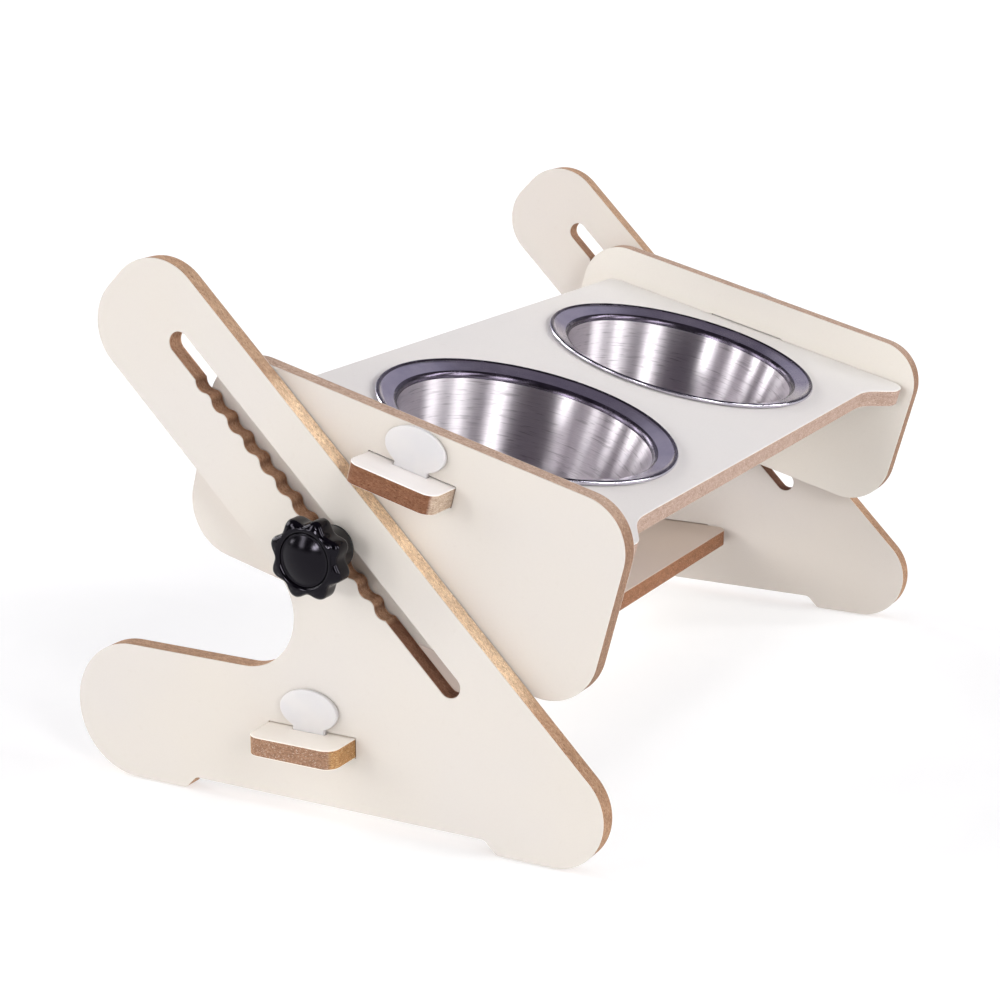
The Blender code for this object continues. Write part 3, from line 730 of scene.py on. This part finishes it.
shoulder = PANEL_IN - GAP
ears = [(HALF - 53.8, TRAY_U[0], 34.0), (HALF - 33.8, EAR_U, 12.0), (shoulder, EAR_U, 8.5)]
tray_outline = tenoned_board(shoulder, PANEL_OUT + TENON_OUT, TRAY_U, TENON_U, ears)
bowl_holes = [circle(side * BOWL_SPACING / 2, BOWL_U, TRAY_HOLE_R, 144) for side in (-1, 1)]
tray_slots = [rectangle(*sorted((side * (PANEL_OUT - GAP), side * (PANEL_OUT + KEY_THICK + 2 * GAP))),
                        tray_key_mid - KEY_NECK / 2 - GAP, tray_key_mid + KEY_NECK / 2 + GAP)
              for side in (-1, 1)]
board("tray_board_fine", tray_outline, bowl_holes + tray_slots,
      tray_axes @ Matrix.Translation((0, 0, (TRAY_TOP - BOARD / 2) * MM)),
      tray_face, tray_edge, "tray_assembly", "tray_board", skin_low=0.18)


# ---------------------------------------------------------------------- keys
def key_outline(mid, top):
    a, b = KEY_HEAD[0] / 2, KEY_HEAD[1] / 2
    cy = top + GAP + b
    join = math.asin(KEY_NECK / 2 / a)
    head = [(mid + a * math.sin(t), cy - b * math.cos(t))
            for t in (join + (2 * math.pi - 2 * join) * k / 72 for k in range(73))]
    foot = top - BOARD - KEY_BELOW
    half = KEY_NECK / 2
    return head + [(mid - half, foot + 1.5), (mid - half + 0.45, foot + 0.45), (mid - half + 1.5, foot),
                   (mid + half - 1.5, foot), (mid + half - 0.45, foot + 0.45), (mid + half, foot + 1.5)]


def key_piece(name, mid, top, matrix, material, body, node):
    """Key with softly rounded arrises."""
    loop = tidy(key_outline(mid, top))
    half, soft = KEY_THICK / 2, 0.55
    levels = [(soft * (1 - math.cos(math.radians(a))), half - soft * (1 - math.sin(math.radians(a))))
              for a in (90, 67, 45, 22, 0)]
    levels += [(d, -z) for d, z in reversed(levels)]
    solid = bmesh.new()
    rings = [[solid.verts.new((x * MM, y * MM, z * MM)) for x, y in (inset(loop, d) if d > 1e-6 else loop)]
             for d, z in levels]
    for upper, lower in zip(rings, rings[1:]):
        for i in range(len(loop)):
            j = (i + 1) % len(loop)
            solid.faces.new((lower[i], lower[j], upper[j], upper[i]))
    solid.faces.new(rings[0])
    solid.faces.new(rings[-1])
    return to_object(name, solid, matrix, [material], body, node, 25.0)


milky = milky_plastic("milky_key", 0.6)
for side, tag in ((-1, "left"), (1, "right")):
    x = side * (HALF + GAP + KEY_THICK / 2)
    key_piece("cross_key_" + tag, cross_key_mid, CROSS_Z[1],
              home @ Matrix.Translation((x * MM, 0, 0)) @ SIDE, milky,
              tag + "_cross_key", "cross_board_key_" + tag)
    x = side * (PANEL_OUT + GAP + KEY_THICK / 2)
    key_piece("tray_key_fine_" + tag, tray_key_mid, TRAY_TOP,
              tray_axes @ Matrix.Translation((x * MM, 0, 0)) @ SIDE, milky,
              tag + "_tray_key", "tray_key_" + tag)


# --------------------------------------------------------------------- bowls
def bowl_sections():
    """Profile of the pressed bowl with the zone of each stretch: 0 inside, 1 rim, 2 underside, 3 bends, coloured as a
    painted dark reflection.
    """
    bead = 1.15
    bead_r, bead_z = BOWL_RIM_R - bead, GAP + bead
    corner, floor, mouth_z = 13.0, -BOWL_DEPTH, -0.4
    rim_out, rim_out_z = bead_r - 0.95, bead_z + 0.45
    lean = math.atan2(BOWL_MOUTH_R - 1.0 - BOWL_BOTTOM_R, BOWL_DEPTH)
    sweep = math.pi / 2 - lean
    cx, cz = BOWL_BOTTOM_R - corner * math.tan(sweep / 2), floor + corner

    def wall(radius, count):
        return [(cx + radius * math.sin(t), cz - radius * math.cos(t))
                for t in (sweep * k / count for k in range(count + 1))]

    inside = [(0.0, floor), (8.0, floor), (20.0, floor), (32.0, floor)] + wall(corner, 14)
    top_of_wall = (BOWL_MOUTH_R - 1.0, mouth_z - 3.1)
    foot_of_wall = inside[-1]
    inside += [tuple(a + (b - a) * k / 8 for a, b in zip(foot_of_wall, top_of_wall)) for k in range(1, 9)]
    # turn over the mouth, then out along the sloping rim
    roll = [(BOWL_MOUTH_R - 0.80, mouth_z - 2.1), (BOWL_MOUTH_R - 0.48, mouth_z - 1.35),
            (BOWL_MOUTH_R - 0.05, mouth_z - 0.75), (BOWL_MOUTH_R + 0.50, mouth_z - 0.30),
            (BOWL_MOUTH_R + 1.15, mouth_z - 0.02)]
    start = roll[-1]
    slope = [tuple(a + (b - a) * k / 4 for a, b in zip(start, (rim_out, rim_out_z))) for k in range(1, 5)]
    rolled = [(bead_r + bead * math.cos(t), bead_z + bead * math.sin(t))
              for t in (math.radians(115 - 205 * k / 12) for k in range(13))]
    outside = [(rim_out + 0.1, GAP + 0.15), (rim_out - 0.5, rim_out_z - SHEET - 0.2),
               (BOWL_MOUTH_R + 1.5, mouth_z - 0.15 - SHEET), (BOWL_MOUTH_R + 0.35, mouth_z - 1.75),
               (BOWL_MOUTH_R - 0.1, mouth_z - 3.1)]
    outside += list(reversed(wall(corner + SHEET, 14))) + [(30.0, floor - SHEET), (0.0, floor - SHEET)]
    profile = inside + roll + slope + rolled + outside
    # the first bent stretches of the bead take the painted dark reflection
    bent = 5                            # stretches of the bead from its top to its side
    zones = ([0] * (len(inside) - 1) + [3] * len(roll) + [1] * (len(slope)) + [3] * bent
             + [1] * (len(rolled) - bent) + [2] * (len(outside)))
    return profile, zones[:len(profile) - 1]


profile, zones = bowl_sections()
for side, tag in ((-1, "left"), (1, "right")):
    seed = 1.0 if side < 0 else 7.0
    # the fourth material, on the bends, is the painted dark reflection
    revolve("bowl_" + tag, profile, 180,
            tray_axes @ Matrix.Translation((side * BOWL_SPACING / 2 * MM, BOWL_U * MM, TRAY_TOP * MM)),
            [brushed_steel("steel_inside_" + tag, seed), rim_steel("steel_rim_" + tag, seed),
             rim_steel("steel_under_" + tag, seed + 2), painted_reflection_steel("steel_painted_reflection_" + tag, seed + 4)],
            tag + "_food_bowl", tag + "_bowl", zones, smooth=45.0)


# ------------------------------------------------- knobs, studs and fastenings
def lobed(radius, swing, depth, count=128, phase=KNOB_PHASE):
    return [((radius + swing * math.cos(KNOB_LOBES * (t - phase))) * math.cos(t),
             (radius + swing * math.cos(KNOB_LOBES * (t - phase))) * math.sin(t), depth)
            for t in (2 * math.pi * k / count for k in range(count))]


def knob_sections():
    """Sections of the knob by (radius, swing, distance from the side frame)."""
    back, face = KNOB_FACE - KNOB_HEAD, KNOB_FACE
    rows = [(STUD_R + GAP, 0.0, 20.3), (STUD_R + GAP, 0.0, WASHER + 2 * GAP + 0.4),
            (STUD_R + GAP + 0.4, 0.0, WASHER + 2 * GAP)]
    rows += [(HUB_R - 0.8, 0.0, WASHER + 2 * GAP), (HUB_R - 0.23, 0.0, WASHER + 2 * GAP + 0.23),
             (HUB_R, 0.0, WASHER + 2 * GAP + 0.8)]
    rows += [(HUB_R, 0.0, back - 0.9), (HUB_R + 0.25, 0.05, back - 0.3), (HUB_R + 0.9, 0.15, back)]
    # back of the lobes, rounded over a good part of the head
    rb = 3.0
    rows += [(KNOB_MID_R - rb, KNOB_SWING * 0.75, back)]
    rows += [(KNOB_MID_R - rb * (1 - math.sin(math.radians(a))), KNOB_SWING * (0.75 + 0.25 * math.sin(math.radians(a))),
              back + rb * (1 - math.cos(math.radians(a)))) for a in (15, 30, 45, 60, 75, 90)]
    rf = 2.8
    rows += [(KNOB_MID_R, KNOB_SWING, face - 0.5 - rf)]
    rows += [(KNOB_MID_R - rf * (1 - math.cos(math.radians(a))), KNOB_SWING * (1 - 0.18 * math.sin(math.radians(a))),
              face - 0.5 - rf * (1 - math.sin(math.radians(a)))) for a in (15, 30, 45, 60, 75, 90)]
    rows += [(CAP_R + 2.6, KNOB_SWING * 0.3, face - 0.3), (CAP_R + 1.7, 0.0, face - 0.1), (CAP_R + 1.2, 0.0, face - 0.16),
             (CAP_R + 0.85, 0.0, face - 0.36), (CAP_R + 0.6, 0.0, face - 0.62), (CAP_R + 0.42, 0.0, face - 0.84),
             (CAP_R + GAP, 0.0, face - 1.0), (CAP_R + GAP, 0.0, face - 2.0)]
    sections = [[(0.0, 0.0, 20.3)]] + [lobed(*row) for row in rows] + [[(0.0, 0.0, face - 2.0)]]
    return sections


def threaded_rod(name, radius, pitch, length, matrix, material, body, nodes):
    """Stud with a rolled thread over its length, tapered at both ends."""
    solid = bmesh.new()
    around, deep = 24, 0.46
    rows = int(length / pitch * 6)
    rings = []
    for i in range(rows + 1):
        z = length * i / rows
        ring = []
        for k in range(around):
            turn = k / around
            wave = abs(((z / pitch - turn) % 1.0) * 2 - 1)
            end = min(1.0, min(z, length - z) / 1.2)
            r = radius - deep * (1 - wave) * 1.0 - 0.55 * (1 - end)
            ring.append(solid.verts.new((r * MM * math.cos(2 * math.pi * turn),
                                         r * MM * math.sin(2 * math.pi * turn), z * MM)))
        rings.append(ring)
    for a, b in zip(rings, rings[1:]):
        for k in range(around):
            j = (k + 1) % around
            solid.faces.new((a[k], a[j], b[j], b[k]))
    solid.faces.new(rings[0])
    solid.faces.new(rings[-1])
    return to_object(name, solid, matrix, [material], body, nodes, 75.0)


plastic = black_plastic("black_knob", 0.9)
cap_plastic = black_plastic("black_cap", 3.3, 0.13)
zinc_mat = zinc("zinc_plated", 1.1)
washer_mat = nylon("nylon_washer", 2.2)
axis_at = Vector((0.0, stud_y - FOOTPRINT_MID, stud_z)) * MM
for side, tag in ((-1, "left"), (1, "right")):
    # local +Z points away from the stand, local X and Y lie in the side frame's plane
    proper = Matrix.Translation((side * HALF * MM, axis_at.y, axis_at.z)) @ Matrix(
        ((0, 0, side, 0), (side, 0, 0, 0), (0, 1, 0, 0), (0, 0, 0, 1)))
    sections = [[(x if side > 0 else -x, y, z) for x, y, z in section] for section in knob_sections()]
    loft("knob_head_" + tag, sections, proper, [plastic], tag + "_clamp_knob", tag + "_knob",
         smooth=50.0)
    cap_at = proper @ Matrix.Translation((0, 0, (KNOB_FACE - 2.0 + GAP) * MM))
    bulge = 24.6
    dome = [(r, 3.08 - bulge + math.sqrt(bulge ** 2 - r ** 2)) for r in (0, 1.5, 3, 4.5, 6, 7.2, 8.4, 9.5, 10.6)]
    dome += [(10.85, 0.62), (11.1, 0.72), (11.4, 0.76), (11.62, 0.66), (11.76, 0.44), (11.80, 0.2),
             (11.80, 0.0), (0.0, 0.0)]
    revolve("knob_cap_fine_" + tag, dome, 72, cap_at, [cap_plastic], tag + "_clamp_knob",
            tag + "_knob_cap", smooth=50.0)
    threaded_rod("stud_fine_" + tag, STUD_R, 1.0, 41.5,
                 proper @ Matrix.Translation((0, 0, -21.5 * MM)), zinc_mat,
                 tag + "_clamp_knob", tag + "_knob_stud")

    inner = STUD_R + GAP
    soft = [(inner, WASHER - 0.15), (inner + 0.15, WASHER), (9.7, WASHER), (9.85, WASHER - 0.06),
            (9.9, WASHER - 0.2), (9.9, 0.2), (9.85, 0.06), (9.7, 0.0), (inner + 0.15, 0.0), (inner, 0.15)]
    revolve("washer_fine_" + tag, soft, 64, proper @ Matrix.Translation((0, 0, GAP * MM)), [washer_mat],
            "stud_carriage", tag + "_washer", closed=True, smooth=50.0)

    # the nut is drawn from the panel's inner face, its barrel going outwards
    nut_at = Matrix.Translation((side * (PANEL_IN - GAP) * MM, axis_at.y, axis_at.z)) @ Matrix.Rotation(
        -side * math.pi / 2, 4, "Y")
    barrel = inner + 0.8
    nut = [(inner, 1.0), (inner + 0.2, 1.2), (8.4, 1.2), (8.8, 1.08), (9.0, 0.75), (9.0, 0.15), (8.85, 0.0),
           (barrel, 0.0), (barrel, -BOARD + 0.75), (barrel - 0.15, -BOARD + 0.6), (inner, -BOARD + 0.6)]
    revolve("nut_fine_" + tag, nut, 64, nut_at, [zinc_mat], "tray_assembly", tag + "_threaded_insert",
            closed=True, smooth=40.0)


# --------------------------------------------------------------------- studio
def floor():
    solid = bmesh.new()
    bmesh.ops.create_circle(solid, cap_ends=True, segments=96, radius=40.0)
    mesh = bpy.data.meshes.new("floor")
    solid.to_mesh(mesh)
    solid.free()
    obj = bpy.data.objects.new("floor", mesh)
    scene.collection.objects.link(obj)
    obj.location = (0, 0, -0.0006)
    n = Nodes("floor_white")
    grain = n.noise(n.coords(), 60.0, 2.0, 0.5)
    n.set(Base_Color=n.mix(n.range(grain, 0.3, 0.7, 0.0, 1.0), (0.49, 0.49, 0.49, 1.0), (0.51, 0.51, 0.51, 1.0)),
          Roughness=0.9)
    n.bsdf.inputs["Specular IOR Level"].default_value = 0.0
    n.bsdf.inputs["Emission Color"].default_value = (1, 1, 1, 1)
    n.bsdf.inputs["Emission Strength"].default_value = 0.56
    mesh.materials.append(n.mat)
    return obj


floor()

# Studio: a white sweep at the horizon, tall narrow softboxes standing in a ring, a small
# bright key and a dim screen behind, all painted on the sky by azimuth (0 = +Y, 90 = +X)
# and sine of the elevation.
LIGHTS = {   # name: (azimuth, width, brightness) of each, softness of the sides, window of sine of elevation
    "ring": ([(-150, 12, 12.0), (-87, 14, 2.0), (-57, 8, 10.0), (-30, 8, 12.0), (-4, 9, 15.0), (22, 8, 15.0),
              (143, 10, 14.0), (172, 10, 14.0)], 1.5, (0.12, 0.16, 0.58, 0.66), (1, 1, 1)),
    "key": ([(-87, 9, 34.0)], 1.2, (0.16, 0.18, 0.27, 0.29), (1, 1, 1)),
    "rear": ([(72, 80, 0.40)], 8.0, (0.06, 0.12, 0.66, 0.76), (0.95, 0.91, 1.12)),
}
GLOOM = (0.034, 0.028, 0.034)
ABOVE = (0.17, 0.15, 0.19)


def sky():
    world = bpy.data.worlds.new("studio")
    scene.world = world
    world.use_nodes = True
    tree = world.node_tree
    for node in list(tree.nodes):
        tree.nodes.remove(node)

    def math_node(operation, a, b=None, c=None):
        node = tree.nodes.new("ShaderNodeMath")
        node.operation = operation
        for i, v in enumerate((a, b, c)):
            if v is None:
                continue
            if isinstance(v, (int, float)):
                node.inputs[i].default_value = v
            else:
                tree.links.new(v, node.inputs[i])
        return node.outputs[0]

    def ramp(value, stops):
        node = tree.nodes.new("ShaderNodeValToRGB")
        elements = node.color_ramp.elements
        while len(elements) < len(stops):
            elements.new(0.5)
        for element, (place, colour) in zip(elements, stops):
            element.position = place
            element.color = (*colour, 1.0) if isinstance(colour, tuple) else (colour, colour, colour, 1.0)
        tree.links.new(value, node.inputs["Fac"])
        return node.outputs["Color"]

    coord = tree.nodes.new("ShaderNodeTexCoord")
    split = tree.nodes.new("ShaderNodeSeparateXYZ")
    tree.links.new(coord.outputs["Generated"], split.inputs[0])
    x, y, z = split.outputs
    turn = math_node("MULTIPLY_ADD", math_node("ARCTAN2", x, y), 1 / (2 * math.pi), 0.5)
    total = ramp(z, [(0.0, 1.0), (0.03, 1.0), (0.08, GLOOM), (0.66, GLOOM), (0.80, ABOVE), (1.0, ABOVE)])
    for lamps, soft, (z0, z1, z2, z3), tint in LIGHTS.values():
        peak = max(bright for _, _, bright in lamps)
        stops = []
        for centre, width, bright in sorted(lamps):
            for offset, value in ((-width / 2 - soft, 0.0), (-width / 2 + soft, bright / peak),
                                  (width / 2 - soft, bright / peak), (width / 2 + soft, 0.0)):
                stops.append(((centre + offset) / 360 + 0.5, value))
        ring = ramp(turn, stops)
        window = ramp(z, [(0.0, 0.0), (z0, 0.0), (z1, 1.0), (z2, 1.0), (z3, 0.0), (1.0, 0.0)])
        lamp = math_node("MULTIPLY", ring, window)
        add = tree.nodes.new("ShaderNodeVectorMath")
        add.operation = "MULTIPLY_ADD"
        tree.links.new(lamp, add.inputs[0])
        add.inputs[1].default_value = [peak * part for part in tint]
        tree.links.new(total, add.inputs[2])
        total = add.outputs[0]
    background = tree.nodes.new("ShaderNodeBackground")
    tree.links.new(total, background.inputs["Color"])
    background.inputs["Strength"].default_value = 1.0
    output = tree.nodes.new("ShaderNodeOutputWorld")
    tree.links.new(background.outputs[0], output.inputs["Surface"])


sky()

# --------------------------------------------------------------------- camera
camera = bpy.data.cameras.new("camera")
camera.sensor_width = 36.0
camera.lens = 78.235
view = bpy.data.objects.new("camera", camera)
scene.collection.objects.link(view)
look = Vector((0.85086, 0.45784, -0.25776)).normalized()
roll = math.radians(-0.152)
right = look.cross(Vector((0, 0, 1))).normalized()
up = right.cross(look)
right, up = (right * math.cos(roll) + up * math.sin(roll), up * math.cos(roll) - right * math.sin(roll))
turn = Matrix((right, up, -look)).transposed()
view.matrix_world = Matrix.Translation((-0.95121, -0.49018, 0.38453)) @ turn.to_4x4()
scene.camera = view
